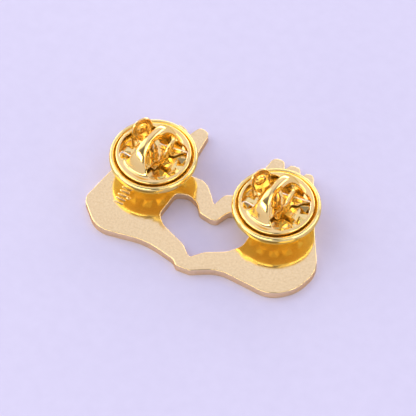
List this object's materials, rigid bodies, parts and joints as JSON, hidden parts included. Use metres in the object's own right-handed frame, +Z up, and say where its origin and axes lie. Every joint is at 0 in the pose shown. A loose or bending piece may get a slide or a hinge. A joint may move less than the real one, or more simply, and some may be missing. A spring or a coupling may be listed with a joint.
{
  "type": "enamel pin",
  "caption": "Flat enamel pin cut as two hands that make a heart, lying face down, with two posts held by spring butterfly clutches.",
  "frame": {"origin": "middle of the pin's front face, which lies on the surface", "axes": "+X along the pin's width, +Y towards the fingertips, +Z up out of the plate's back along the posts"},
  "size_m": [0.0314, 0.021, 0.0102],
  "materials": {
    "plated_plate": "polished gold plate, faintly brushed",
    "plated_post": "polished gold plate",
    "clutch_gold": "bright gold plate on pressed sheet",
    "spring_wire": "plated spring wire",
    "solder": "plated solder",
    "blush_enamel": "hard enamel, polished flush",
    "tan_enamel": "hard enamel, polished flush"
  },
  "bodies": {
    "pin": {"plate": "plated_plate", "left_palm_enamel": "blush_enamel", "left_thumb_enamel": "blush_enamel", "left_index_enamel": "blush_enamel", "left_middle_enamel": "blush_enamel", "left_ring_enamel": "blush_enamel", "left_little_enamel": "blush_enamel", "right_palm_enamel": "tan_enamel", "right_thumb_enamel": "tan_enamel", "right_index_enamel": "tan_enamel", "right_middle_enamel": "tan_enamel", "right_ring_enamel": "tan_enamel", "right_little_enamel": "tan_enamel", "left_post": "plated_post", "left_solder": "solder", "right_post": "plated_post", "right_solder": "solder"},
    "left_clutch": {"left_base": "clutch_gold"},
    "left_cover": {"left_cap": "clutch_gold", "left_spring": "spring_wire"},
    "left_low_lever": {"left_lever_low": "clutch_gold"},
    "left_high_lever": {"left_lever_high": "clutch_gold"},
    "right_clutch": {"right_base": "clutch_gold"},
    "right_cover": {"right_cap": "clutch_gold", "right_spring": "spring_wire"},
    "right_low_lever": {"right_lever_low": "clutch_gold"},
    "right_high_lever": {"right_lever_high": "clutch_gold"}
  },
  "joints": [
    {"name": "left_clutch_slide", "type": "slide", "parent": "pin", "child": "left_clutch", "axis": [0, 0, 1], "range_m": [-0.0009, 0.013]},
    {"name": "left_cap_spin", "type": "hinge", "parent": "left_clutch", "child": "left_cover", "pos_m": [-0.0098, 0.0015, 0.0045], "axis": [0, 0, 1], "continuous": true},
    {"name": "left_low_squeeze", "type": "slide", "parent": "left_cover", "child": "left_low_lever", "axis": [-0.9744, 0.225, 0], "range_m": [0, 0.0002], "stiffness_N_per_m": 200},
    {"name": "left_high_squeeze", "type": "slide", "parent": "left_cover", "child": "left_high_lever", "axis": [0.9744, -0.225, 0], "range_m": [0, 0.0002], "stiffness_N_per_m": 200},
    {"name": "right_clutch_slide", "type": "slide", "parent": "pin", "child": "right_clutch", "axis": [0, 0, 1], "range_m": [-0.00075, 0.013]},
    {"name": "right_cap_spin", "type": "hinge", "parent": "right_clutch", "child": "right_cover", "pos_m": [0.0078, 0.0015, 0.0045], "axis": [0, 0, 1], "continuous": true},
    {"name": "right_low_squeeze", "type": "slide", "parent": "right_cover", "child": "right_low_lever", "axis": [-0.9744, 0.225, 0], "range_m": [0, 0.0002], "stiffness_N_per_m": 200},
    {"name": "right_high_squeeze", "type": "slide", "parent": "right_cover", "child": "right_high_lever", "axis": [0.9744, -0.225, 0], "range_m": [0, 0.0002], "stiffness_N_per_m": 200}
  ]
}
